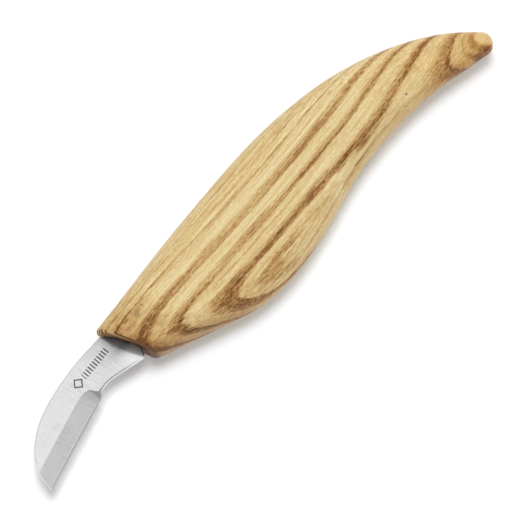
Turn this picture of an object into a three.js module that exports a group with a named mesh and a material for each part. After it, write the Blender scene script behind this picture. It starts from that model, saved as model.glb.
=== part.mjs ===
// Chip carving knife: a short drop-point blade whose stick tang is bedded in glue inside a
// one-piece ash handle. Millimetres. The knife lies on one cheek of its handle: +X runs from
// the blade to the tail, +Y towards the spine and +Z up through the thickness.
// The layout below is drawn in the knife's middle plane, with x = 0 where the blade enters the
// handle. The last lines move it so that the origin is under the middle of the whole knife.
import * as THREE from 'three';

// Place of the finished knife's origin in the layout.
const CENTRE_X = 44.3;
const CENTRE_Y = -1.0;

// Handle: each rib joins a point of the spine edge to a point of the belly edge.
const RIBS = [
  { spine: [-5, 9.1], belly: [2.8, -7.6] },
  { spine: [6, 10.45], belly: [12, -10.8] },
  { spine: [18, 12.1], belly: [22, -14.2] },
  { spine: [30, 13.6], belly: [32, -17.4] },
  { spine: [42, 14.8], belly: [42, -18.45] },
  { spine: [54, 15.85], belly: [53, -17.4] },
  { spine: [66, 16.35], belly: [64, -14.95] },
  { spine: [78, 15.9], belly: [76, -11.5] },
  { spine: [90, 14.3], belly: [88, -9.45] },
  { spine: [102, 11.1], belly: [99, -8.75] },
  { spine: [112, 7.0], belly: [109, -9.15] },
  { spine: [120, 2.55], belly: [117, -10.25] },
  { spine: [126, -1.95], belly: [122.5, -11.3] },
  { spine: [130.6, -6.4], belly: [127.3, -12] },
];
const TAIL = { x: 128.5, y: -8.95, radius: 3.3 };
const HALF_THICKNESS = 9.75;
const FRONT_TAPER = { from: 22, length: 23, drop: 1.8, power: 2 };
const TAIL_TAPER = { from: 82, length: 47, drop: 5.0, power: 2.5 };
const EDGE_ROUNDING = 8.5;
const EDGE_POWER = 2.2;
const FACE_HOLLOW = 1.9;
const FACE_ROUNDING = { spine: 3.1, cheek: 0.8, belly: 2.1 };
const FIRST_BAY = 10.3;

// Points around one handle section, counted on its upper half from spine to belly.
const EDGE_STEPS = 7;
const CHEEK_STEPS = 6;
const HALF_STEPS = 2 * EDGE_STEPS + CHEEK_STEPS;
const RING = 2 * HALF_STEPS;
const BAY_STEPS = 3;
const CAP_STEPS = 8;
const ROUNDING_STEPS = 3;

// Blade: each rib joins the lower outline to the spine. Bevel is the width of the ground or
// chamfered strip above the lower outline, and edge the half thickness left at the outline.
const STEEL = 1.0;
const SPINE_CHAMFER = 0.25;
const BLADE_RIBS = [
  { low: [-43.0, -13.5], high: [-43.1, -12.9], bevel: 5.4, edge: 0.08 },
  { low: [-42.2, -13.25], high: [-42.95, -10.6], bevel: 5.4, edge: 0.08 },
  { low: [-40.9, -12.85], high: [-42.4, -7.9], bevel: 5.4, edge: 0.08 },
  { low: [-38.9, -12.23], high: [-41.0, -5.0], bevel: 5.4, edge: 0.08 },
  { low: [-36.0, -11.34], high: [-38.2, -1.8], bevel: 5.4, edge: 0.08 },
  { low: [-32.0, -10.1], high: [-34.2, 1.2], bevel: 5.4, edge: 0.08 },
  { low: [-28.0, -8.86], high: [-29.9, 3.2], bevel: 5.4, edge: 0.08 },
  { low: [-24.0, -7.63], high: [-25.6, 4.6], bevel: 5.4, edge: 0.08 },
  { low: [-20.0, -6.4], high: [-21.2, 5.6], bevel: 5.4, edge: 0.08 },
  { low: [-17.6, -5.65], high: [-18.8, 6.05], bevel: 5.0, edge: 0.08 },
  { low: [-16.0, -5.15], high: [-16.9, 6.35], bevel: 4.1, edge: 0.1 },
  { low: [-15.3, -4.75], high: [-16.1, 6.47], bevel: 2.4, edge: 0.3 },
  { low: [-14.5, -3.95], high: [-15.2, 6.6], bevel: 0.7, edge: 0.5 },
  { low: [-13.0, -3.4], high: [-13.9, 6.75], bevel: 0.45, edge: 0.55 },
  { low: [-10.5, -3.2], high: [-11.8, 6.95], bevel: 0.45, edge: 0.55 },
  { low: [-7.0, -3.75], high: [-9.0, 7.08], bevel: 0.45, edge: 0.55 },
  { low: [-3.0, -4.6], high: [-6.4, 7.18], bevel: 0.45, edge: 0.55 },
  { low: [0.3, -5.25], high: [-4.8, 7.26], bevel: 0.45, edge: 0.55 },
  { low: [1.3, -4.8], high: [-4.3, 7.28], bevel: 0.45, edge: 0.55 },
  { low: [2.0, -3.2], high: [-3.95, 7.3], bevel: 0.45, edge: 0.55 },
];
const BLADE_STEPS = 3;
const SMOOTH_BAYS = 9;

// Tang: a tapering bar between two straight edges, in a mortise of the same taper.
const TANG = { x: 45, top: 2.2, bottom: -2.2 };
const MOUTH = { top: 6.3, bottom: -2.3 };
const TANG_CHAMFER = 0.2;
const SHOULDER_GAP = 0.15;
const MORTISE_SIDE = 0.4;
const MORTISE_Z = STEEL + 0.35;
const TANG_END_ROOM = 1.2;
const GLUE_GAP = 0.05;
const GLUE_RECESS = 0.4;

// A closed body from rings that all have the same number of points. The first and last ring
// are closed with a fan of triangles around their middle.
function loft(rings) {
  const count = rings[0].length;
  const points = rings.flat();
  const faces = [];
  for (let r = 0; r + 1 < rings.length; r += 1) {
    for (let i = 0; i < count; i += 1) {
      const a = r * count + i;
      const b = r * count + (i + 1) % count;
      faces.push(a, a + count, b);
      faces.push(b, a + count, b + count);
    }
  }
  const last = (rings.length - 1) * count;
  const firstMiddle = points.push(middle(rings[0])) - 1;
  const lastMiddle = points.push(middle(rings[rings.length - 1])) - 1;
  for (let i = 0; i < count; i += 1) {
    const next = (i + 1) % count;
    faces.push(firstMiddle, i, next);
    faces.push(lastMiddle, last + next, last + i);
  }
  const geometry = new THREE.BufferGeometry().setFromPoints(points);
  geometry.setIndex(faces);
  geometry.computeVertexNormals();
  return geometry;
}

function middle(ring) {
  const sum = ring.reduce((total, point) => total.add(point), new THREE.Vector3());
  return sum.divideScalar(ring.length);
}

function taper(shape, distance) {
  return shape.drop * Math.pow(Math.max(0, distance) / shape.length, shape.power);
}

const spineCurve = new THREE.SplineCurve(RIBS.map((rib) => new THREE.Vector2(...rib.spine)));
const bellyCurve = new THREE.SplineCurve(RIBS.map((rib) => new THREE.Vector2(...rib.belly)));
const LAST_BAY = RIBS.length - 1;

// Half thickness of the handle where the middle of a rib is at x.
function halfThickness(x) {
  const front = taper(FRONT_TAPER, FRONT_TAPER.from - x);
  const tail = taper(TAIL_TAPER, x - TAIL_TAPER.from);
  return HALF_THICKNESS - front - tail;
}

// One point of the handle's section: across runs from 1 at the spine to -1 at the belly over
// the flat cheek, edge the same way over the rounded edge, and rise is the share of the height.
function sectionPoint(index) {
  const upper = index <= HALF_STEPS;
  const step = upper ? index : RING - index;
  const fromEnd = Math.min(step, HALF_STEPS - step);
  const side = step * 2 <= HALF_STEPS ? 1 : -1;
  const turn = (Math.min(fromEnd, EDGE_STEPS) / EDGE_STEPS) * (Math.PI / 2);
  const onCheek = fromEnd > EDGE_STEPS;
  const across = onCheek ? 1 - (2 * (step - EDGE_STEPS)) / CHEEK_STEPS : side;
  const edge = onCheek ? 0 : side * Math.pow(Math.cos(turn), 2 / EDGE_POWER);
  const rise = onCheek ? 1 : Math.pow(Math.sin(turn), 2 / EDGE_POWER);
  return { across, edge, rise: upper ? rise : -rise };
}
const SECTION = Array.from({ length: RING }, (_, index) => sectionPoint(index));

// A rib of the handle at bay, counted in ribs from the front face.
function handleRib(bay) {
  const spine = spineCurve.getPoint(bay / LAST_BAY);
  const belly = bellyCurve.getPoint(bay / LAST_BAY);
  const centre = spine.clone().add(belly).multiplyScalar(0.5);
  return { spine, belly, half: halfThickness(centre.x) };
}

// A rib of the round tail cap: turn falls from its opening angle to 0 at the very tip.
const tailSpine = RIBS[LAST_BAY].spine;
const tailBelly = RIBS[LAST_BAY].belly;
const spineTurn = Math.atan2(tailSpine[1] - TAIL.y, tailSpine[0] - TAIL.x);
const bellyTurn = Math.atan2(tailBelly[1] - TAIL.y, tailBelly[0] - TAIL.x);
const TIP_TURN = (spineTurn + bellyTurn) / 2;
const CAP_TURN = (spineTurn - bellyTurn) / 2;
function capRib(share) {
  const turn = CAP_TURN * share;
  const onCircle = (angle) => new THREE.Vector2(
    TAIL.x + TAIL.radius * Math.cos(angle),
    TAIL.y + TAIL.radius * Math.sin(angle),
  );
  const half = (handleRib(LAST_BAY).half * Math.sin(turn)) / Math.sin(CAP_TURN);
  return { spine: onCircle(TIP_TURN + turn), belly: onCircle(TIP_TURN - turn), half };
}

// The handle's surface point on a rib, drawn in by inset, with the front face's hollow.
function onRib(rib, shape, inset, hollow) {
  const halfWidth = rib.spine.distanceTo(rib.belly) / 2;
  const rounding = EDGE_ROUNDING * Math.tanh(halfWidth / EDGE_ROUNDING);
  const flat = halfWidth - rounding;
  const reach = (shape.across * flat + shape.edge * (rounding - inset)) / halfWidth;
  const place = rib.belly.clone().lerp(rib.spine, (1 + reach) / 2);
  const set = hollow * (1 - reach * reach);
  return new THREE.Vector3(place.x + set, place.y, shape.rise * (rib.half - inset));
}

function hollowAt(bay) {
  return FACE_HOLLOW * Math.pow(Math.max(0, 1 - bay), 2);
}

// A ring of the rounded arris between the handle's side and its front face.
function arrisRing(turn) {
  return SECTION.map((shape) => {
    const corner = shape.edge > 0 ? FACE_ROUNDING.spine : FACE_ROUNDING.belly;
    const radius = THREE.MathUtils.lerp(FACE_ROUNDING.cheek, corner, Math.abs(shape.edge));
    const bay = (radius * (1 - Math.sin(turn))) / FIRST_BAY;
    return onRib(handleRib(bay), shape, radius * (1 - Math.cos(turn)), hollowAt(bay));
  });
}

// x of the hollowed front face at height y.
function faceX(y) {
  const [front] = RIBS;
  const reach = (2 * y - front.spine[1] - front.belly[1]) / (front.spine[1] - front.belly[1]);
  const chord = THREE.MathUtils.lerp(front.belly[0], front.spine[0], (1 + reach) / 2);
  return chord + FACE_HOLLOW * (1 - reach * reach);
}

// The mortise's mouth as a ring of as many points as the handle's sections.
function squareTurn(index) {
  const angle = (2 * Math.PI * index) / RING;
  const longest = Math.max(Math.abs(Math.cos(angle)), Math.abs(Math.sin(angle)));
  return { across: Math.cos(angle) / longest, rise: Math.sin(angle) / longest };
}

function mouthRing() {
  return SECTION.map((_, index) => {
    const { across, rise } = squareTurn(index);
    const y = THREE.MathUtils.lerp(MOUTH.bottom, MOUTH.top, (1 + across) / 2);
    return new THREE.Vector3(faceX(y), y, rise * MORTISE_Z);
  });
}

function mortiseEndRing() {
  return SECTION.map((_, index) => {
    const { across, rise } = squareTurn(index);
    const y = THREE.MathUtils.lerp(
      TANG.bottom - MORTISE_SIDE,
      TANG.top + MORTISE_SIDE,
      (1 + across) / 2,
    );
    return new THREE.Vector3(TANG.x + TANG_END_ROOM, y, rise * MORTISE_Z);
  });
}

// A ring on the front face, part of the way from the arris to the mouth.
function faceRing(outer, inner, share) {
  return outer.map((point, index) => {
    const place = point.clone().lerp(inner[index], share);
    place.x = faceX(place.y);
    return place;
  });
}

function handleGeometry() {
  const rings = [];
  for (let step = 1; step < CAP_STEPS; step += 1) {
    const rib = capRib(Math.sin((step / CAP_STEPS) * (Math.PI / 2)));
    rings.push(SECTION.map((shape) => onRib(rib, shape, 0, 0)));
  }
  for (let step = LAST_BAY * BAY_STEPS; step > 1; step -= 1) {
    const bay = step / BAY_STEPS;
    rings.push(SECTION.map((shape) => onRib(handleRib(bay), shape, 0, hollowAt(bay))));
  }
  for (let step = 0; step <= ROUNDING_STEPS; step += 1) {
    rings.push(arrisRing((step / ROUNDING_STEPS) * (Math.PI / 2)));
  }
  const arris = rings[rings.length - 1];
  const mouth = mouthRing();
  rings.push(faceRing(arris, mouth, 0.5), mouth, mortiseEndRing());
  return loft(rings);
}

// A straight edge of the tang or its mortise: y at x, drawn in by inset from the mortise wall.
function mortiseWall(x, side, inset) {
  const mouthY = side > 0 ? MOUTH.top : MOUTH.bottom;
  const endY = side > 0 ? TANG.top + MORTISE_SIDE : TANG.bottom - MORTISE_SIDE;
  const mouthX = faceX(mouthY);
  const share = (x - mouthX) / (TANG.x + TANG_END_ROOM - mouthX);
  return THREE.MathUtils.lerp(mouthY, endY, share) - side * inset;
}

// A blade section on a rib: lower edge, top of the bevel, spine chamfer and spine, on both
// sides of the steel. Near the tip the bevel runs out at the spine and the steel is thinner.
function bladeRing(rib) {
  const length = rib.low.distanceTo(rib.high);
  const chamfer = Math.min(SPINE_CHAMFER, length / 4);
  const bevel = Math.min(rib.bevel, 0.8 * (length - chamfer));
  const rise = (reach) => rib.edge + (STEEL - rib.edge) * Math.min(1, reach / rib.bevel);
  const outline = [
    { reach: 0, z: rib.edge },
    { reach: bevel, z: rise(bevel) },
    { reach: length - chamfer, z: rise(length - chamfer) },
    { reach: length, z: rise(length) - 0.7 * chamfer },
  ];
  const above = outline.map(({ reach, z }) => {
    const place = rib.low.clone().lerp(rib.high, reach / length);
    return new THREE.Vector3(place.x, place.y, z);
  });
  const below = above.map((point) => new THREE.Vector3(point.x, point.y, -point.z));
  return [...above, ...below.reverse()];
}

function tangRib(x) {
  const low = new THREE.Vector2(x, mortiseWall(x, -1, MORTISE_SIDE));
  const high = new THREE.Vector2(x, mortiseWall(x, 1, MORTISE_SIDE));
  return { low, high, bevel: TANG_CHAMFER, edge: STEEL - TANG_CHAMFER };
}

// Where a straight edge in the mortise comes to a set depth behind the front face.
function atDepth(side, inset, depth) {
  let x = depth;
  for (let pass = 0; pass < 8; pass += 1) {
    x = faceX(mortiseWall(x, side, inset)) + depth;
  }
  return new THREE.Vector2(x, mortiseWall(x, side, inset));
}

// The first tang rib follows the slant of the shoulder.
function shoulderRib() {
  const low = atDepth(-1, MORTISE_SIDE, -SHOULDER_GAP);
  const high = atDepth(1, MORTISE_SIDE, -SHOULDER_GAP);
  return { low, high, bevel: TANG_CHAMFER, edge: STEEL - TANG_CHAMFER };
}

function bladeGeometry() {
  const low = new THREE.SplineCurve(BLADE_RIBS.map((rib) => new THREE.Vector2(...rib.low)));
  const high = new THREE.SplineCurve(BLADE_RIBS.map((rib) => new THREE.Vector2(...rib.high)));
  const bays = BLADE_RIBS.length - 1;
  const ribs = [];
  for (let bay = 0; bay < bays; bay += 1) {
    const steps = bay < SMOOTH_BAYS ? BLADE_STEPS : 1;
    for (let step = 0; step < steps; step += 1) {
      const share = step / steps;
      const t = (bay + share) / bays;
      ribs.push({
        low: low.getPoint(t),
        high: high.getPoint(t),
        bevel: THREE.MathUtils.lerp(BLADE_RIBS[bay].bevel, BLADE_RIBS[bay + 1].bevel, share),
        edge: THREE.MathUtils.lerp(BLADE_RIBS[bay].edge, BLADE_RIBS[bay + 1].edge, share),
      });
    }
  }
  const shoulder = BLADE_RIBS[bays];
  ribs.push({ ...shoulder, low: low.getPoint(1), high: high.getPoint(1) });
  ribs.push(shoulderRib(), tangRib(8), tangRib(TANG.x));
  return loft(ribs.map(bladeRing));
}

// The glue is a thin cup around the tang, closed behind its end and open at the mouth.
function glueRing(low, high, z) {
  return [
    new THREE.Vector3(low.x, low.y, z),
    new THREE.Vector3(high.x, high.y, z),
    new THREE.Vector3(high.x, high.y, -z),
    new THREE.Vector3(low.x, low.y, -z),
  ];
}

function glueMouth(inset, z) {
  return glueRing(atDepth(-1, inset, GLUE_RECESS), atDepth(1, inset, GLUE_RECESS), z);
}

function glueEnd(x, inset, z) {
  const low = new THREE.Vector2(x, mortiseWall(x, -1, inset));
  const high = new THREE.Vector2(x, mortiseWall(x, 1, inset));
  return glueRing(low, high, z);
}

function glueGeometry() {
  const innerInset = MORTISE_SIDE - GLUE_GAP;
  return loft([
    glueEnd(TANG.x + GLUE_GAP, innerInset, STEEL + GLUE_GAP),
    glueMouth(innerInset, STEEL + GLUE_GAP),
    glueMouth(GLUE_GAP, MORTISE_Z - GLUE_GAP),
    glueEnd(TANG.x + TANG_END_ROOM - GLUE_GAP, GLUE_GAP, MORTISE_Z - GLUE_GAP),
  ]);
}

function piece(name, geometry, material) {
  const mesh = new THREE.Mesh(geometry, new THREE.MeshStandardMaterial(material));
  mesh.name = name;
  return mesh;
}

const knife = new THREE.Group();
knife.add(piece('handle', handleGeometry(), { color: 0xd9b878, roughness: 0.55, metalness: 0 }));
knife.add(piece('blade', bladeGeometry(), { color: 0xd6d8da, roughness: 0.3, metalness: 1 }));
knife.add(piece('tang_glue', glueGeometry(), { color: 0xb98f4a, roughness: 0.3, metalness: 0 }));
knife.position.set(-CENTRE_X, -CENTRE_Y, HALF_THICKNESS);

export default knife;
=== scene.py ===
"""A chip carving knife: a short drop-point blade, its stick tang bedded in glue inside a one-piece
ash handle. It lies on one cheek on a pale floor.

The shapes are laid out as in the CAD: millimetres in the knife's middle plane, x = 0 where the
blade enters the handle, x towards the tail, y towards the spine and z through the thickness.
Meshes are made finer than the CAD's from the same ribs, then placed in the frame, in metres."""
import math

import bpy
from mathutils import Matrix, Vector


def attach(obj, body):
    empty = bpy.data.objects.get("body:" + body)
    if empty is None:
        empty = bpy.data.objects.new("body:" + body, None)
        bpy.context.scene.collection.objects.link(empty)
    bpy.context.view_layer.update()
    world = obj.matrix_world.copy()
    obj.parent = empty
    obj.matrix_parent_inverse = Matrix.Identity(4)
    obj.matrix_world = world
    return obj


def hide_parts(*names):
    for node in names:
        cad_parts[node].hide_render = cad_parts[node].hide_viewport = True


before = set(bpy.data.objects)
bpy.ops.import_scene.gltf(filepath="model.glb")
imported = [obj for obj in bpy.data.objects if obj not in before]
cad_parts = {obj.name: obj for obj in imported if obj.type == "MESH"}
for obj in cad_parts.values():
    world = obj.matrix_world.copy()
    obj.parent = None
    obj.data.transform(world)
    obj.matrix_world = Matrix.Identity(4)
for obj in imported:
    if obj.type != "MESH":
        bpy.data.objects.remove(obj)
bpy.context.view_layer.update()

MM = 0.001
CENTRE = Vector((44.3, -1.0, -9.75))

# Handle: each rib joins a point of the spine edge to a point of the belly edge.
RIBS = [
    ((-5, 9.1), (2.8, -7.6)),
    ((6, 10.45), (12, -10.8)),
    ((18, 12.1), (22, -14.2)),
    ((30, 13.6), (32, -17.4)),
    ((42, 14.8), (42, -18.45)),
    ((54, 15.85), (53, -17.4)),
    ((66, 16.35), (64, -14.95)),
    ((78, 15.9), (76, -11.5)),
    ((90, 14.3), (88, -9.45)),
    ((102, 11.1), (99, -8.75)),
    ((112, 7.0), (109, -9.15)),
    ((120, 2.55), (117, -10.25)),
    ((126, -1.95), (122.5, -11.3)),
    ((130.6, -6.4), (127.3, -12)),
]
LAST_BAY = len(RIBS) - 1
TAIL_X, TAIL_Y, TAIL_RADIUS = 128.5, -8.95, 3.3
HALF_THICKNESS = 9.75
FRONT_TAPER = {"from": 22, "length": 23, "drop": 1.8, "power": 2}
TAIL_TAPER = {"from": 82, "length": 47, "drop": 5.0, "power": 2.5}
EDGE_ROUNDING = 8.5
EDGE_POWER = 2.2
FACE_HOLLOW = 1.9
FACE_ROUNDING = {"spine": 3.1, "cheek": 0.8, "belly": 2.1}
FIRST_BAY = 10.3

# How finely the handle is meshed.
EDGE_STEPS = 26
CHEEK_STEPS = 24
HALF_STEPS = 2 * EDGE_STEPS + CHEEK_STEPS
RING = 2 * HALF_STEPS
BAY_STEPS = 14
CAP_STEPS = 18
ROUNDING_STEPS = 9
FACE_STEPS = 7

# Blade: each rib joins the lower outline to the spine. Bevel is the width of the ground or
# chamfered strip above the lower outline, and edge the half thickness left at the outline.
STEEL = 1.0
SPINE_CHAMFER = 0.25
BLADE_RIBS = [
    ((-43.0, -13.5), (-43.1, -12.9), 5.4, 0.08),
    ((-42.2, -13.25), (-42.95, -10.6), 5.4, 0.08),
    ((-40.9, -12.85), (-42.4, -7.9), 5.4, 0.08),
    ((-38.9, -12.23), (-41.0, -5.0), 5.4, 0.08),
    ((-36.0, -11.34), (-38.2, -1.8), 5.4, 0.08),
    ((-32.0, -10.1), (-34.2, 1.2), 5.4, 0.08),
    ((-28.0, -8.86), (-29.9, 3.2), 5.4, 0.08),
    ((-24.0, -7.63), (-25.6, 4.6), 5.4, 0.08),
    ((-20.0, -6.4), (-21.2, 5.6), 5.4, 0.08),
    ((-17.6, -5.65), (-18.8, 6.05), 5.0, 0.08),
    ((-16.0, -5.15), (-16.9, 6.35), 4.1, 0.1),
    ((-15.3, -4.75), (-16.1, 6.47), 2.4, 0.3),
    ((-14.5, -3.95), (-15.2, 6.6), 0.7, 0.5),
    ((-13.0, -3.4), (-13.9, 6.75), 0.45, 0.55),
    ((-10.5, -3.2), (-11.8, 6.95), 0.45, 0.55),
    ((-7.0, -3.75), (-9.0, 7.08), 0.45, 0.55),
    ((-3.0, -4.6), (-6.4, 7.18), 0.45, 0.55),
    ((0.3, -5.25), (-4.8, 7.26), 0.45, 0.55),
    ((1.3, -4.8), (-4.3, 7.28), 0.45, 0.55),
    ((2.0, -3.2), (-3.95, 7.3), 0.45, 0.55),
]

# The spine chamfer's depth against its width, and how much of a narrow section the chamfer and
# the bevel may take up.
SPINE_CHAMFER_DEPTH = 0.7
LARGEST_CHAMFER = 0.25
LARGEST_BEVEL = 0.8

# The ground edge, thinner than GROUND_EDGE, is honed to MICRO_EDGE by a narrow second bevel.
GROUND_EDGE = 0.1
MICRO_EDGE = 0.015
MICRO_BEVEL = 0.5

# How finely the blade is meshed. The plunge at the heel is meshed only at its three ribs.
BLADE_STEPS = 8
FLAT_STEPS = 6
PLUNGE = (10, 12)

# Tang: a tapering bar between two straight edges, in a mortise of the same taper.
TANG_X = 45.0
TANG_RINGS = (8, 20, 32, TANG_X)
TANG_HALF = 2.2
MOUTH_TOP = 6.3
MOUTH_BOTTOM = -2.3
TANG_CHAMFER = 0.2
SHOULDER_GAP = 0.15
MORTISE_SIDE = 0.4
MORTISE_Z = STEEL + 0.35
TANG_END_ROOM = 1.2

# Angle between faces, in degrees, from which a mesh is shaded with a sharp edge.
HANDLE_SHARP = 40
BLADE_SHARP = 7


def lerp(a, b, share):
    return a + (b - a) * share


def curve(points, place):
    """A uniform Catmull-Rom curve through points, at place counted in points."""
    index = min(int(place), len(points) - 2)
    w = place - index
    ends = [points[min(max(index + k, 0), len(points) - 1)] for k in (-1, 0, 1, 2)]
    result = []
    for before, a, b, after in zip(*ends):
        out, back = (b - before) / 2, (after - a) / 2
        cubic = (2 * a - 2 * b + out + back) * w + (3 * b - 3 * a - 2 * out - back)
        result.append((cubic * w + out) * w + a)
    return Vector(result)


SPINE_POINTS = [rib[0] for rib in RIBS]
BELLY_POINTS = [rib[1] for rib in RIBS]


def half_thickness(x):
    """Half the handle's thickness at x: it thins towards the front face and towards the tail."""
    drop = 0.0
    tapers = ((FRONT_TAPER, FRONT_TAPER["from"] - x), (TAIL_TAPER, x - TAIL_TAPER["from"]))
    for taper, past in tapers:
        drop += taper["drop"] * (max(0.0, past) / taper["length"]) ** taper["power"]
    return HALF_THICKNESS - drop


def handle_rib(bay):
    spine, belly = curve(SPINE_POINTS, bay), curve(BELLY_POINTS, bay)
    return spine, belly, half_thickness((spine.x + belly.x) / 2)


def tail_angle(point):
    return math.atan2(point[1] - TAIL_Y, point[0] - TAIL_X)


TIP_TURN = (tail_angle(SPINE_POINTS[-1]) + tail_angle(BELLY_POINTS[-1])) / 2
CAP_TURN = (tail_angle(SPINE_POINTS[-1]) - tail_angle(BELLY_POINTS[-1])) / 2


def cap_rib(share):
    """A rib of the round tail cap: share falls from 1, where it opens, to 0 at the tip."""
    turn = CAP_TURN * share
    ends = []
    for angle in (TIP_TURN + turn, TIP_TURN - turn):
        reach = Vector((math.cos(angle), math.sin(angle))) * TAIL_RADIUS
        ends.append(Vector((TAIL_X, TAIL_Y)) + reach)
    half = handle_rib(LAST_BAY)[2] * math.sin(turn) / math.sin(CAP_TURN)
    return ends[0], ends[1], half


def section_point(index):
    """Across the flat cheek from 1 at the spine to -1, over the rounded edge, and the rise."""
    upper = index <= HALF_STEPS
    step = index if upper else RING - index
    from_end = min(step, HALF_STEPS - step)
    side = 1 if step * 2 <= HALF_STEPS else -1
    if from_end > EDGE_STEPS:
        return 1 - 2 * (step - EDGE_STEPS) / CHEEK_STEPS, 0.0, 1.0 if upper else -1.0
    turn = from_end / EDGE_STEPS * math.pi / 2
    edge = side * max(0.0, math.cos(turn)) ** (2 / EDGE_POWER)
    rise = math.sin(turn) ** (2 / EDGE_POWER)
    return side, edge, rise if upper else -rise


SECTION = [section_point(index) for index in range(RING)]


def on_rib(rib, shape, inset, hollow):
    """The surface point on a rib, drawn in by inset, with the front face's hollow."""
    spine, belly, half = rib
    across, edge, rise = shape
    half_width = (spine - belly).length / 2
    rounding = EDGE_ROUNDING * math.tanh(half_width / EDGE_ROUNDING)
    reach = (across * (half_width - rounding) + edge * (rounding - inset)) / half_width
    place = belly.lerp(spine, (1 + reach) / 2)
    return Vector((place.x + hollow * (1 - reach * reach), place.y, rise * (half - inset)))


def hollow_at(bay):
    return FACE_HOLLOW * max(0.0, 1 - bay) ** 2


def arris_ring(turn):
    """A ring of the rounded arris between the handle's side and its front face."""
    ring = []
    for shape in SECTION:
        flank_shade = FACE_ROUNDING["spine" if shape[1] > 0 else "belly"]
        radius = lerp(FACE_ROUNDING["cheek"], flank_shade, abs(shape[1]))
        bay = radius * (1 - math.sin(turn)) / FIRST_BAY
        ring.append(on_rib(handle_rib(bay), shape, radius * (1 - math.cos(turn)), hollow_at(bay)))
    return ring


def face_x(y):
    """x of the hollowed front face at height y."""
    (spine_x, spine_y), (belly_x, belly_y) = RIBS[0]
    reach = (2 * y - spine_y - belly_y) / (spine_y - belly_y)
    return lerp(belly_x, spine_x, (1 + reach) / 2) + FACE_HOLLOW * (1 - reach * reach)


def square_turn(index):
    angle = 2 * math.pi * index / RING
    longest = max(abs(math.cos(angle)), abs(math.sin(angle)))
    return math.cos(angle) / longest, math.sin(angle) / longest


def mortise_ring(bottom, top, x=None):
    """A rectangle of the mortise: its mouth on the front face, or at x."""
    ring = []
    for index in range(RING):
        across, rise = square_turn(index)
        y = lerp(bottom, top, (1 + across) / 2)
        ring.append(Vector((face_x(y) if x is None else x, y, rise * MORTISE_Z)))
    return ring


def handle_rings():
    """Rings from the tail's tip to the front face and into the mortise."""
    rings = []
    arris_start = math.ceil(FACE_ROUNDING["spine"] / FIRST_BAY * BAY_STEPS)
    for step in range(1, CAP_STEPS):
        rib = cap_rib(math.sin(step / CAP_STEPS * math.pi / 2))
        rings.append([on_rib(rib, shape, 0, 0) for shape in SECTION])
    for step in range(LAST_BAY * BAY_STEPS, arris_start, -1):
        bay = step / BAY_STEPS
        rings.append([on_rib(handle_rib(bay), shape, 0, hollow_at(bay)) for shape in SECTION])
    for step in range(ROUNDING_STEPS + 1):
        rings.append(arris_ring(step / ROUNDING_STEPS * math.pi / 2))
    arris = rings[-1]
    mouth = mortise_ring(MOUTH_BOTTOM, MOUTH_TOP)
    for step in range(1, FACE_STEPS):
        ring = [a.lerp(b, step / FACE_STEPS) for a, b in zip(arris, mouth)]
        rings.append([Vector((face_x(p.y), p.y, p.z)) for p in ring])
    end = TANG_HALF + MORTISE_SIDE
    rings += [mouth, mortise_ring(-end, end, TANG_X + TANG_END_ROOM)]
    return rings


def mortise_wall(x, side, inset):
    """y of a straight edge in the mortise at x, drawn in by inset from the mortise wall."""
    mouth_y = MOUTH_TOP if side > 0 else MOUTH_BOTTOM
    mouth_x = face_x(mouth_y)
    share = (x - mouth_x) / (TANG_X + TANG_END_ROOM - mouth_x)
    return lerp(mouth_y, side * (TANG_HALF + MORTISE_SIDE), share) - side * inset


def at_depth(side, inset, depth):
    """Where a straight edge in the mortise comes to a set depth behind the front face."""
    x = depth
    for _ in range(8):
        x = face_x(mortise_wall(x, side, inset)) + depth
    return Vector((x, mortise_wall(x, side, inset)))


def blade_ring(low, high, bevel_width, edge):
    """A blade section: edge, micro-bevel, ground bevel, flat, spine chamfer and spine."""
    length = (high - low).length
    chamfer = min(SPINE_CHAMFER, LARGEST_CHAMFER * length)
    bevel = min(bevel_width, LARGEST_BEVEL * (length - chamfer))
    micro = min(MICRO_BEVEL, bevel / 3)

    def rise(reach):
        return edge + (STEEL - edge) * min(1, reach / bevel_width)

    start = MICRO_EDGE if edge < GROUND_EDGE else edge
    middle = lerp(micro, bevel, 0.5)
    outline = [(0, start), (micro, rise(micro)), (middle, rise(middle))]
    for step in range(FLAT_STEPS + 1):
        reach = lerp(bevel, length - chamfer, step / FLAT_STEPS)
        outline.append((reach, rise(reach)))
    outline.append((length, rise(length) - SPINE_CHAMFER_DEPTH * chamfer))
    above = [Vector((*low.lerp(high, reach / length), z)) for reach, z in outline]
    below = [Vector((p.x, p.y, -p.z)) for p in reversed(above)]
    return above + below


def tang_ring(x):
    low, high = (Vector((x, mortise_wall(x, side, MORTISE_SIDE))) for side in (-1, 1))
    return blade_ring(low, high, TANG_CHAMFER, STEEL - TANG_CHAMFER)


def blade_rings():
    """Rings from the blade's tip along its ribs, over the shoulder and down the tang."""
    low_points, high_points = [rib[0] for rib in BLADE_RIBS], [rib[1] for rib in BLADE_RIBS]
    rings = []
    for step in range((len(BLADE_RIBS) - 1) * BLADE_STEPS + 1):
        place = step / BLADE_STEPS
        if PLUNGE[0] < place < PLUNGE[1] and place != int(place):
            continue
        bay = min(int(place), len(BLADE_RIBS) - 2)
        bevel = lerp(BLADE_RIBS[bay][2], BLADE_RIBS[bay + 1][2], place - bay)
        edge = lerp(BLADE_RIBS[bay][3], BLADE_RIBS[bay + 1][3], place - bay)
        rings.append(blade_ring(curve(low_points, place), curve(high_points, place), bevel, edge))
    shoulder = [at_depth(side, MORTISE_SIDE, -SHOULDER_GAP) for side in (-1, 1)]
    rings.append(blade_ring(*shoulder, TANG_CHAMFER, STEEL - TANG_CHAMFER))
    rings += [tang_ring(x) for x in TANG_RINGS]
    return rings


def add_to_scene(name, data):
    thing = bpy.data.objects.new(name, data)
    bpy.context.scene.collection.objects.link(thing)
    return thing


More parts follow.
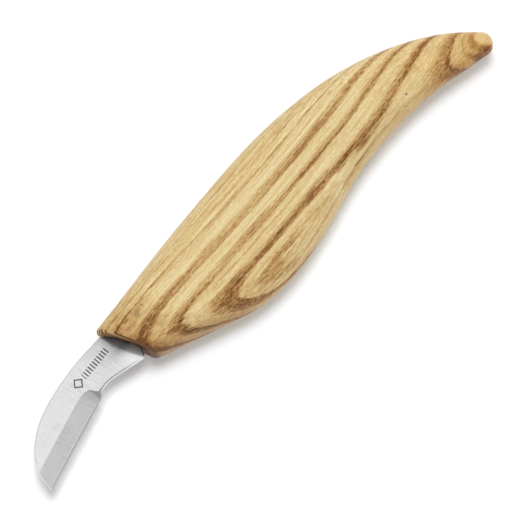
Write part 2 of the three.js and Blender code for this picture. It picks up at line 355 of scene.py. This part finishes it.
def loft(name, rings, sharp_angle):
    """A closed body from rings of equally many points, shaded sharp past an angle in degrees."""
    count = len(rings[0])
    points = [point for ring in rings for point in ring]
    last = (len(rings) - 1) * count
    faces = []
    for start in range(0, last, count):
        for i in range(count):
            a, b = start + i, start + (i + 1) % count
            faces.append((a, a + count, b + count, b))
    for start, outwards in ((0, True), (last, False)):
        ring = list(range(start, start + count))
        middle = len(points)
        points.append(sum((points[i] for i in ring), Vector((0, 0, 0))) / count)
        for i in range(count):
            pair = (ring[i], ring[(i + 1) % count])
            faces.append((middle, *(pair if outwards else reversed(pair))))
    mesh = bpy.data.meshes.new(name)
    mesh.from_pydata([(point - CENTRE) * MM for point in points], [], faces)
    mesh.update()
    mesh.shade_smooth()
    mesh.set_sharp_from_angle(angle=math.radians(sharp_angle))
    return add_to_scene(name, mesh)


# ---- Shader building ----

class Field:
    """A number that varies over a surface: the output of a node, with arithmetic."""

    def __init__(self, tree, socket):
        self.tree = tree
        self.socket = socket

    def math(self, operation, *others, clamp=False):
        node = self.tree.nodes.new("ShaderNodeMath")
        node.operation = operation
        node.use_clamp = clamp
        for slot, value in zip(node.inputs, (self, *others)):
            feed(self.tree, slot, value)
        return Field(self.tree, node.outputs[0])

    def __add__(self, other):
        return self.math("ADD", other)

    def __sub__(self, other):
        return self.math("SUBTRACT", other)

    def __mul__(self, other):
        return self.math("MULTIPLY", other)

    def __truediv__(self, other):
        return self.math("DIVIDE", other)

    def __abs__(self):
        return self.math("ABSOLUTE")

    __radd__ = __add__
    __rmul__ = __mul__

    def __rsub__(self, other):
        return self * -1.0 + other

    def clamped(self):
        return self.math("ADD", 0.0, clamp=True)

    def step(self, low, high):
        """0 below low, 1 above high, and smooth between. With low above high it falls instead."""
        node = self.tree.nodes.new("ShaderNodeMapRange")
        node.interpolation_type = "SMOOTHSTEP"
        rising = low < high
        feed(self.tree, node.inputs["Value"], self)
        node.inputs["From Min"].default_value = low if rising else high
        node.inputs["From Max"].default_value = high if rising else low
        node.inputs["To Min"].default_value = 0.0 if rising else 1.0
        node.inputs["To Max"].default_value = 1.0 if rising else 0.0
        return Field(self.tree, node.outputs["Result"])

    def ramp(self, stops):
        """A value or colour read off between stops of (place, value or colour)."""
        low, high = stops[0][0], stops[-1][0]
        node = self.tree.nodes.new("ShaderNodeValToRGB")
        feed(self.tree, node.inputs[0], (self - low) / (high - low))
        elements = node.color_ramp.elements
        for index, (place, value) in enumerate(stops):
            where = (place - low) / (high - low)
            element = elements[index] if index < 2 else elements.new(where)
            element.position = where
            element.color = (value, value, value, 1) if isinstance(value, float) else (*value, 1)
        return Field(self.tree, node.outputs[0])


def window(field, opening, closing):
    """1 between two soft borders and 0 outside them. Either border can be None."""
    borders = [field.step(*border) for border in (opening, closing) if border]
    return borders[0] * borders[1] if len(borders) == 2 else borders[0]


def feed(tree, slot, value):
    if isinstance(value, Field):
        tree.links.new(value.socket, slot)
    else:
        slot.default_value = value


def mixed(share, a, b, how="MIX"):
    """Two colours mixed by a share that varies."""
    node = share.tree.nodes.new("ShaderNodeMix")
    node.data_type = "RGBA"
    node.blend_type = how
    feed(share.tree, node.inputs[0], share)
    for slot, value in ((node.inputs[6], a), (node.inputs[7], b)):
        feed(share.tree, slot, value if isinstance(value, Field) else (*value, 1))
    return Field(share.tree, node.outputs[2])


def mixed_value(share, a, b):
    """Two numbers mixed by a share that varies."""
    return a + (b - a) * share


# How far apart two noise patterns lie along the noise's fourth coordinate.
SEED_SPACING = 7.3


class Material:
    """A Principled material, with the layout's coordinates in millimetres as fields."""

    def __init__(self, name, **settings):
        self.material = bpy.data.materials.new(name)
        self.material.use_nodes = True
        self.tree = self.material.node_tree
        self.shader = self.tree.nodes["Principled BSDF"]
        for slot, value in settings.items():
            self.shader.inputs[slot.replace("_", " ")].default_value = value
        place = self.tree.nodes.new("ShaderNodeTexCoord").outputs["Object"]
        scaled = self.vector_math("SCALE", place)
        scaled.inputs["Scale"].default_value = 1 / MM
        moved = self.vector_math("ADD", scaled.outputs[0], CENTRE)
        split = self.tree.nodes.new("ShaderNodeSeparateXYZ")
        self.tree.links.new(moved.outputs[0], split.inputs[0])
        self.x, self.y, self.z = (Field(self.tree, split.outputs[i]) for i in range(3))

    def vector_math(self, operation, first, second=None):
        node = self.tree.nodes.new("ShaderNodeVectorMath")
        node.operation = operation
        self.tree.links.new(first, node.inputs[0])
        if second is not None:
            node.inputs[1].default_value = second
        return node

    def vector(self, *parts):
        node = self.tree.nodes.new("ShaderNodeCombineXYZ")
        for slot, value in zip(node.inputs, parts):
            feed(self.tree, slot, value)
        return node.outputs[0]

    def noise(self, x, y, z, seed, detail=2.0, roughness=0.5):
        """Noise from about -1 to 1, one wave to a unit of x, y and z. Each seed has its pattern."""
        node = self.tree.nodes.new("ShaderNodeTexNoise")
        node.noise_dimensions = "4D"
        self.tree.links.new(self.vector(x, y, z), node.inputs["Vector"])
        node.inputs["W"].default_value = seed * SEED_SPACING
        node.inputs["Scale"].default_value = 1.0
        node.inputs["Detail"].default_value = detail
        node.inputs["Roughness"].default_value = roughness
        return (Field(self.tree, node.outputs["Fac"]) - 0.5) * 4.0

    def normal_x(self):
        split = self.tree.nodes.new("ShaderNodeSeparateXYZ")
        geometry = self.tree.nodes.new("ShaderNodeNewGeometry")
        self.tree.links.new(geometry.outputs["Normal"], split.inputs[0])
        return Field(self.tree, split.outputs["X"])

    def bump(self, height, strength, distance):
        node = self.tree.nodes.new("ShaderNodeBump")
        node.inputs["Strength"].default_value = strength
        node.inputs["Distance"].default_value = distance
        feed(self.tree, node.inputs["Height"], height)
        self.tree.links.new(node.outputs["Normal"], self.shader.inputs["Normal"])

    def finish(self, colour, roughness):
        feed(self.tree, self.shader.inputs["Base Color"], colour)
        feed(self.tree, self.shader.inputs["Roughness"], roughness)
        return self.material


def srgb(red, green, blue):
    """A colour given as displayed, 0 to 255, in the linear values that a shader takes."""
    result = []
    for level in (red, green, blue):
        share = level / 255
        result.append(share / 12.92 if share <= 0.04045 else ((share + 0.055) / 1.055) ** 2.4)
    return tuple(result)


# The tone of the wood across the growth rings, from 0, dark and porous, to 1, dense and pale.
# A ring starts with a sharp dark line and its porous band fades towards lower values.
RING_TONES = [
    (-40.0, 0.80), (-36.0, 0.84), (-34.6, 0.62), (-30.0, 0.84), (-28.6, 0.62),
    (-24.5, 0.86), (-22.5, 0.76), (-18.5, 0.74), (-16.0, 0.84), (-12.9, 0.80), (-12.4, 0.50),
    (-11.8, 0.82), (-7.8, 0.72), (-6.2, 0.80), (-5.7, 0.42), (-5.1, 0.80), (-2.4, 0.92),
    (-1.6, 0.36), (-0.9, 0.80),
    (3.0, 0.97), (4.6, 0.30), (5.9, 0.34), (6.4, 0.86), (8.6, 0.88), (9.7, 0.50), (10.5, 0.10),
    (11.1, 0.82), (13.2, 0.88), (14.0, 0.66), (14.9, 0.12), (15.4, 0.80), (16.6, 0.86),
]
CORE_TONES = [
    (16.6, 0.86), (17.2, 0.72), (17.6, 0.44), (18.05, 0.30), (18.15, 0.05), (18.3, 0.66),
    (18.7, 0.78), (18.95, 0.56), (19.15, 0.74), (19.35, 0.46), (19.5, 0.56), (19.6, 0.94),
    (20.6, 1.0),
]
WOOD_COLOURS = [
    (-0.2, srgb(92, 58, 28)), (0.05, srgb(128, 86, 44)), (0.28, srgb(164, 122, 72)),
    (0.48, srgb(188, 149, 96)), (0.68, srgb(206, 175, 118)), (0.86, srgb(221, 198, 145)),
    (1.0, srgb(230, 211, 163)), (1.15, srgb(240, 226, 186)),
]
WARM_TINT = srgb(253, 236, 216)
FLECK_COLOUR = srgb(96, 84, 66)

# The growth rings rise by these slopes along x, y and z, and their products bend them. x is
# counted in RING_LENGTHs from RING_MIDDLE, and y and z in RING_WIDTHs from the middle plane.
RING_MIDDLE = 60.0
RING_LENGTH = 60.0
RING_WIDTH = 10.0
RING_SLOPES = {
    "x": 9.7, "xx": 2.5, "xxx": 1.4,
    "y": -12.6, "xy": 2.2, "xxy": 3.8, "yy": -2.4, "yz": 2.7,
    "z": 10.0, "zz": -1.1, "xz": -5.1,
}

# Wood grain as noise: its length and width in mm, its seed, detail and roughness.
GRAIN = {
    "waves": (25.0, 8.0, 1, 2, 0.5),
    "feather": (7.0, 0.5, 2, 3, 0.5),
    "broad": (18.0, 0.9, 3, 3, 0.5),
    "fibre": (16.0, 0.34, 4, 3, 0.7),
    "pores": (1.0, 0.3, 5, 2, 0.7),
    "smoke": (5.0, 1.8, 6, 4, 0.6),
}

# The middle of the handle, between soft borders along x. Rings there are no darker than faint.
MIDDLE = ((20, 32), (70, 56))
MIDDLE_TONE = 0.8

# The tone of the belly's flank: partly a pale ring, where the board was cut along one, and partly
# painted rim light from the floor.
RIM_TONE = 0.84
DARKEST_TONE = 0.1

# Rings that are darker or paler for a stretch: the change of tone, then the soft borders
# between which it holds, first across the rings and then along x.
RING_STRETCHES = [
    (-0.06, (3.0, 3.6), (6.2, 5.9), *MIDDLE),
    (-0.06, (8.6, 9.3), (11.4, 11.0), *MIDDLE),
    (-0.2, (13.5, 14.0), (15.1, 14.9), (84, 106), None),
    (-0.18, (14.0, 14.4), (15.3, 15.15), (40, 48), (82, 76)),
    (-0.16, (8.8, 9.3), (10.9, 10.6), (21, 15), None),
    (-0.26, (13.0, 13.5), (15.6, 15.2), (39, 33), None),
    (0.12, (14.95, 15.15), (16.0, 15.8), (66, 70), (90, 84)),
]

# Patches of the surface that are darker or paler: the change, then soft borders in y and in x.
PATCHES = [
    (-0.4, (-9.9, -10.8), None, (122.5, 125.0), (130.5, 128.5)),
    (0.1, (-10.8, -12.0), None, (50, 56), (78, 72)),
]

# Flecks in the upper cheek, the first a grey smudge: x, y, radius and strength.
FLECKS = [
    (7.0, 3.6, 1.1, 0.4),
    (9.6, 4.5, 0.35, 0.8),
    (50.7, -11.8, 0.3, 0.8),
    (102.8, -5.2, 0.35, 0.8),
]


def growth_rings(ash):
    """Distance through the board's gently curved growth rings, in units near a millimetre."""
    x, y, z = (ash.x - RING_MIDDLE) / RING_LENGTH, ash.y / RING_WIDTH, ash.z / RING_WIDTH
    slope = RING_SLOPES
    along = x * (x * (x * slope["xxx"] + slope["xx"]) + slope["x"])
    bent = x * (x * slope["xxy"] + slope["xy"]) + y * slope["yy"] + z * slope["yz"]
    across = y * (bent + slope["y"])
    through = z * (z * slope["zz"] + x * slope["xz"] + slope["z"])
    return along + across + through


def lifted(tone, level, share):
    """A tone brought up towards a level by a share where it is darker than that."""
    return tone + (level - tone).math("MAXIMUM", 0.0) * share


def low_side(height):
    """1 on the belly's flank, well below the edge of either cheek."""
    return abs(height).step(6.5, 4.5)


def ring_tone(ash, rings):
    """Tone of the wood across the rings, with bands that widen, fade and darken along the grain, and
    painted light and shade on the belly's flank.
    """
    in_core = rings.math("GREATER_THAN", CORE_TONES[0][0])
    tone = mixed_value(in_core, rings.ramp(RING_TONES), rings.ramp(CORE_TONES))
    tone = lifted(tone, MIDDLE_TONE, window(ash.x, *MIDDLE) * rings.step(12.6, 12.0) * 0.45)
    for change, *borders in RING_STRETCHES:
        tone = tone + window(rings, *borders[:2]) * window(ash.x, *borders[2:]) * change
    island = window(rings, (16.1, 16.4), (17.0, 16.8)) * ash.x.step(75, 68)
    shore = (ash.y.step(-14.5, -13.0) + ash.x.step(52, 46)).clamped()
    tone = tone - island * shore * (ash.x.step(58, 50) * 0.2 + 0.2)
    low, side = ash.y.step(-4, -7), low_side(ash.z)
    # Painted rim light, in part: the belly's flank is lifted towards a pale tone.
    tone = lifted(tone, RIM_TONE, side * low * window(ash.x, (50, 62), (108, 102)))
    line = window(ash.z, (5.4, 5.9), (6.9, 6.4))
    tone = tone - line * low * window(ash.x, (46, 54), (112, 104)) * 0.3
    for change, *borders in PATCHES:
        tone = tone + window(ash.y, *borders[:2]) * window(ash.x, *borders[2:]) * change
    # Painted shade: the belly's flank is darker near the front and near the tail.
    flank_shade = ash.y.step(-7, -11) * window(ash.x, (8, 18), (46, 28)) + side * ash.x.step(104, 110)
    tone = tone + ash.x.step(126.5, 129.5) * 0.12 - low * flank_shade * 0.17
    return tone - window(rings, (11.8, 12.1), (12.6, 12.3)) * window(ash.x, *MIDDLE) * 0.2


def flecks(ash):
    """How strongly the flecks colour the upper cheek."""
    total = 0.0
    wobble = ash.noise(ash.x / 0.8, ash.y / 0.8, ash.z, 9)
    for x, y, radius, strength in FLECKS:
        dx, dy = (ash.x - x) / radius, (ash.y - y) / radius
        total = (dx * dx + dy * dy + wobble * 0.5).step(1.3, 0.3) * strength + total
    return total * ash.z.step(5.0, 6.0)


def end_grain_shade(ash, y, rings, fibre, pores):
    """The cut ends of the rings on the front face: narrow dark lines in a darker wood, and painted
    shade on the face below the blade.
    """
    streaks = ash.noise(rings / 1.5, y / 14.0, ash.z / 14.0, 7, detail=2).step(-0.35, 0.4)
    shade = streaks * (ash.y.step(-4.0, 5.0) * 0.62 + 0.2) + fibre * 0.10 + pores * 0.08 - 0.14
    # Painted shade: the face below the blade, towards the belly, is darker.
    return shade - ash.y.step(-2.0, -5.0) * 0.16


def ash_material():
    """Oiled ash: rings broken up by fibres, pores and thin lines, darkened by hands at the front,
    with painted light and shade on the belly's flank and painted shade on the front face below the
    blade.
    """
    ash = Material("oiled_ash", IOR=1.45, Specular_IOR_Level=0.25)
    x, z = ash.x, ash.z
    y = ash.y - x * (x * 0.00055 + 0.02)
    grain = {}
    for name, (length, width, seed, detail, rough) in GRAIN.items():
        place = (x / length, y / width, z / width)
        grain[name] = ash.noise(*place, seed, detail=detail, roughness=rough)
    broad, fibre, pores = grain["broad"], grain["fibre"], grain["pores"]
    rings = growth_rings(ash) + grain["waves"] * 0.14
    rings = rings + grain["feather"] * (x.step(112, 92) * 0.24 + 0.10)
    tone = ring_tone(ash, rings).math("MAXIMUM", DARKEST_TONE)
    tone = tone + (MIDDLE_TONE - tone) * (x.step(78, 92) * 0.15 + 0.1) * x.step(112, 104)
    porous = 1.0 - tone
    tail = x.step(112, 124)
    coarse = ash.y.step(5.0, 11.0) * 0.45 + 1.0
    shade = tone + broad * 0.09 + coarse * fibre * (porous * 0.20 + 0.22) * (1.0 - tail * 0.6)
    shade = shade + pores * (porous * 0.46 + 0.12)
    lines = ash.noise(rings / 0.6, x / 45.0, z / 9.0, 8, detail=2).step(0.3, 1.1)
    shade = shade - lines * (ash.y.step(2.0, 7.0) * 0.22 + 0.12)
    front = x.step(18, 1) * (ash.y.step(9.0, 3.5) * 0.75 + 0.25)
    shade = shade - grain["smoke"].step(-0.3, 0.9) * front * 0.5 - front * 0.34
    end_grain = (ash.normal_x() * -1.0).step(0.15, 0.7)
    shade = mixed_value(end_grain, shade, end_grain_shade(ash, y, rings, fibre, pores))
    colour = shade.ramp(WOOD_COLOURS)
    warm = broad * 0.15 + (y / 16.0).step(0.45, 1.0) * 0.3 + x.step(85, 116) * 0.4 - tail * 0.05
    # Painted shade: the belly's flank, back from the front, is made warmer and a little darker.
    warm = (warm + low_side(z) * ash.y.step(-4, -7) * x.step(20, 45) * 0.6).clamped()
    colour = mixed(warm, colour, WARM_TINT, "MULTIPLY")
    colour = mixed(flecks(ash), colour, FLECK_COLOUR)
    roughness = (0.5 + fibre * 0.04 - pores * 0.05).clamped()
    ash.bump(fibre * 0.5 + pores * (porous + 0.1) + tone, 0.3, 0.00006)
    return ash.finish(colour, roughness)


STEEL_COLOURS = [
    (-0.3, srgb(56, 56, 60)), (0.0, srgb(142, 142, 143)), (0.5, srgb(230, 230, 230)),
    (1.0, srgb(252, 252, 252)),
]
# The colour of the painted reflection and shade of the handle's front face on the steel.
HANDLE_REFLECTION_COLOUR = srgb(20, 20, 32)

# A painted reflection and shade of the handle's front face, lens-shaped, on the steel in front of
# it:
# its half width and its depth, and how clear of it the steel is, from 0 at the handle to 1 at the
# lens's border.
REFLECTION_HALF_WIDTH = 8.0
REFLECTION_DEPTH = 3.1
REFLECTION_CLEARNESS = [
    (0.0, 0.06), (0.08, 0.08), (0.12, 0.36), (0.5, 0.38), (0.8, 0.48), (0.95, 0.62),
    (1.05, 0.84), (1.2, 1.0),
]

# The brush marks' turn in degrees, the soft border at the heel, along x, of the painted highlight
# along the ground edge, and the stamped marks' place, slope in degrees, and sizes.
BRUSH_TURN = 16
HEEL = (-14.5, -15.5)
MARKS_X, MARKS_Y, MARKS_SLOPE = -17.2, 2.3, 5.9
LOZENGE_HALF = 1.45
BAR_PITCH = 0.95


def face_gap(steel):
    """Distance in front of the handle's hollowed front face, along x."""
    (spine_x, spine_y), (belly_x, belly_y) = RIBS[0]
    reach = (steel.y * 2.0 - (spine_y + belly_y)) / (spine_y - belly_y)
    chord = reach * ((spine_x - belly_x) / 2) + (spine_x + belly_x) / 2
    return chord + (1.0 - reach * reach) * FACE_HOLLOW - steel.x


def turned(x, y, degrees):
    """Coordinates along and across a direction that is turned by an angle from x."""
    turn = math.radians(degrees)
    along = x * math.cos(turn) + y * math.sin(turn)
    return along, y * math.cos(turn) - x * math.sin(turn)


def marks(steel):
    """A plain lozenge and a row of hatch bars, stamped on the upper flat beside the handle."""
    u, v = turned(steel.x - MARKS_X, steel.y - MARKS_Y, MARKS_SLOPE)
    lozenge = abs(abs(u) + abs(v) - LOZENGE_HALF).step(0.28, 0.18)
    bar = abs((u / BAR_PITCH).math("FRACT") - 0.5).step(0.22, 0.14)
    row = bar * window(u, (2.3, 2.4), (12.6, 12.5)) * abs(v).step(1.0, 0.9)
    return (lozenge + row) * steel.z.step(0.98, 0.99)


def steel_material():
    """Ground steel: brush marks, chamfers and the marks, with painted highlights on the edge, the
    lower chamfer and a glint, painted shade on the chamfer's crease and towards the handle, a
    painted reflection lighter towards the tip, and a painted reflection and shade of the handle in
    front of it.
    """
    steel = Material("brushed_steel", Metallic=1.0)
    along, across = turned(steel.x, steel.y, BRUSH_TURN)
    brush = steel.noise(along / 0.16, across / 11.0, steel.z, 1, detail=3, roughness=0.65)
    scratch = steel.noise(along / 0.35, across / 2.5, steel.z, 3, detail=2)
    cloud = steel.noise(steel.x / 9.0, steel.y / 5.0, steel.z, 2, detail=3)
    height = abs(steel.z)
    neck = steel.x.step(-14.9, -14.3)
    chamfer = height.step(0.999, 0.985) * neck * steel.y.step(0.5, -0.5)
    # Painted shade: a dark line along the top of the lower chamfer on the neck.
    crease_shade = chamfer * height.step(0.74, 0.84) * steel.x.step(1.0, -2.0)
    glint = steel.x.step(-6.0, -1.5) * steel.y.step(-1.2, -3.6)
    # Painted highlight: a bright strip along the ground edge and a light line just inside it, from
    # the heel to the tip.
    edge_highlight = height.step(0.24, 0.12) + window(height, (0.13, 0.16), (0.22, 0.18))
    edge_highlight = steel.x.step(*HEEL) * edge_highlight
    # Painted reflection: the flat is lighter towards the tip. Painted shade: its upper part darkens
    # towards the handle.
    tipward_light = (steel.x + 22.0) * -0.0025
    handle_shade = steel.x.step(-14.0, -5.0) * 0.12 + steel.x.step(-6.5, -2.0) * 0.24
    shade = brush * 0.12 + scratch * 0.08 + cloud * 0.09 + tipward_light - handle_shade * steel.y.step(-2.0, 1.5)
    # Painted light: the lower chamfer and a glint near the shoulder are lightened.
    shade = shade - crease_shade * 0.8 + edge_highlight * 0.5 + (chamfer + glint) * 0.3 + 0.48
    shade = shade - marks(steel) * 0.75
    # Painted reflection and shade of the handle's front face: a dark lens on the steel in front of
    # it.
    lens = steel.y / REFLECTION_HALF_WIDTH
    depth = (1.0 - lens * lens).math("MAXIMUM", 0.05) * REFLECTION_DEPTH
    reflection_reach = face_gap(steel) / depth + cloud * 0.07 + scratch * 0.03
    clear_of_reflection = reflection_reach.ramp(REFLECTION_CLEARNESS)
    colour = mixed(1.0 - clear_of_reflection, shade.ramp(STEEL_COLOURS), HANDLE_REFLECTION_COLOUR)
    roughness = (0.36 + brush * 0.03 + cloud * 0.03 + (1.0 - clear_of_reflection) * 0.2).clamped()
    steel.bump(brush + scratch * 0.7, 0.25, 0.00002)
    return steel.finish(colour, roughness)


GLUE_COLOURS = [(0.0, srgb(120, 78, 30)), (1.0, srgb(196, 152, 84))]
FLOOR_COLOURS = [(0.0, (0.925, 0.925, 0.925)), (1.0, (0.94, 0.94, 0.94))]
FLOOR_GLOW = 0.11

# Under the handle the floor is faintly cooler, which evens out the warm light off the wood.
COOL_TINT = (0.955, 1.0, 1.06)


def glue_material():
    glue = Material("amber_epoxy", IOR=1.55)
    cloud = glue.noise(glue.x / 3.0, glue.y / 1.5, glue.z / 1.5, 1, detail=4)
    colour = (0.5 + cloud * 0.2).ramp(GLUE_COLOURS)
    glue.bump(cloud, 0.2, 0.0001)
    return glue.finish(colour, (0.3 + cloud * 0.08).clamped())


def floor_material():
    paper = Material("floor_paper", Emission_Color=(1, 1, 1, 1), Emission_Strength=FLOOR_GLOW)
    cloud = paper.noise(paper.x / 40.0, paper.y / 40.0, paper.z, 1)
    colour = (0.5 + cloud * 0.1).ramp(FLOOR_COLOURS)
    near = window(paper.x, (-6.0, 10.0), (134.0, 112.0)) * abs(paper.y).step(70.0, 40.0)
    colour = mixed(near, colour, COOL_TINT, "MULTIPLY")
    return paper.finish(colour, (0.8 + cloud * 0.02).clamped())


# ---- Camera, first, then the pieces, the floor and the light ----

ELEVATION = 80
CAMERA_AIM = Vector((-0.00177, -0.00847, HALF_THICKNESS * MM))
CAMERA_DISTANCE = 2.4084
CAMERA_LENS = 600
CAMERA_SENSOR = 36
CAMERA_CLIP = (0.05, 50)

FLOOR_HALF = 3.0
SUN_STRENGTH = 1.66
SUN_SPREAD = 18
PANEL_RADIUS = 0.45
PANEL_BRIGHTNESS = 1.1
PANEL_DISTANCE = 1.2
ROOM_LOW = 0.78
ROOM_FALL = 0.56


def raised(x, y):
    """A unit vector over a horizontal direction, at the elevation that camera and lamp share."""
    level = math.cos(math.radians(ELEVATION)) / math.sqrt(2)
    return Vector((x * level, y * level, math.sin(math.radians(ELEVATION))))


def make_camera():
    """Turned 45 degrees about the upright and looking almost straight down, from far away."""
    data = bpy.data.cameras.new("camera")
    data.lens = CAMERA_LENS
    data.sensor_width = CAMERA_SENSOR
    data.clip_start, data.clip_end = CAMERA_CLIP
    camera = add_to_scene("camera", data)
    back = raised(-1, -1)
    right = Vector((1, -1, 0)).normalized()
    turn = Matrix((right, back.cross(right), back)).transposed()
    camera.matrix_world = Matrix.Translation(CAMERA_AIM + back * CAMERA_DISTANCE) @ turn.to_4x4()
    bpy.context.scene.camera = camera


def make_pieces():
    ash, steel = ash_material(), steel_material()
    handle = loft("handle_ash", handle_rings(), HANDLE_SHARP)
    handle.data.materials.append(ash)
    blade = loft("blade_steel", blade_rings(), BLADE_SHARP)
    blade.data.materials.append(steel)
    for piece, node, slot in ((handle, "handle", "ash"), (blade, "blade", "steel")):
        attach(piece, "root")
        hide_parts(node)
    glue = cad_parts["tang_glue"]
    for slot in glue.material_slots:
        slot.material = glue_material()


def make_floor():
    mesh = bpy.data.meshes.new("floor")
    corners = [(x * FLOOR_HALF, y * FLOOR_HALF, 0) for x, y in ((-1, -1), (1, -1), (1, 1), (-1, 1))]
    mesh.from_pydata(corners, [], [(0, 1, 2, 3)])
    mesh.materials.append(floor_material())
    floor = add_to_scene("floor", mesh)


def make_light():
    """A soft sun and a round panel high over the far side, and a room that is white low down."""
    direction = raised(1, 1)
    facing = direction.to_track_quat("Z", "Y")
    sun = bpy.data.lights.new("key", "SUN")
    sun.energy = SUN_STRENGTH
    sun.angle = math.radians(SUN_SPREAD)
    key = add_to_scene("key", sun)
    key.visible_glossy = False
    disk = bpy.data.lights.new("panel", "AREA")
    disk.shape = "DISK"
    disk.size = 2 * PANEL_RADIUS
    disk.energy = PANEL_BRIGHTNESS * (math.pi * PANEL_RADIUS) ** 2
    panel = add_to_scene("panel", disk)
    panel.location = direction * PANEL_DISTANCE
    for lamp in (key, panel):
        lamp.rotation_mode = "QUATERNION"
        lamp.rotation_quaternion = facing
    world = bpy.data.worlds.new("room")
    world.use_nodes = True
    tree = world.node_tree
    background = tree.nodes["Background"]
    background.inputs["Color"].default_value = (1, 1, 1, 1)
    split = tree.nodes.new("ShaderNodeSeparateXYZ")
    tree.links.new(tree.nodes.new("ShaderNodeTexCoord").outputs["Generated"], split.inputs[0])
    height = Field(tree, split.outputs["Z"]).clamped()
    feed(tree, background.inputs["Strength"], ROOM_LOW - height * ROOM_FALL)
    bpy.context.scene.world = world
    bpy.context.scene.view_settings.view_transform = "Standard"


make_camera()
make_pieces()
make_floor()
make_light()

bpy.context.view_layer.update()
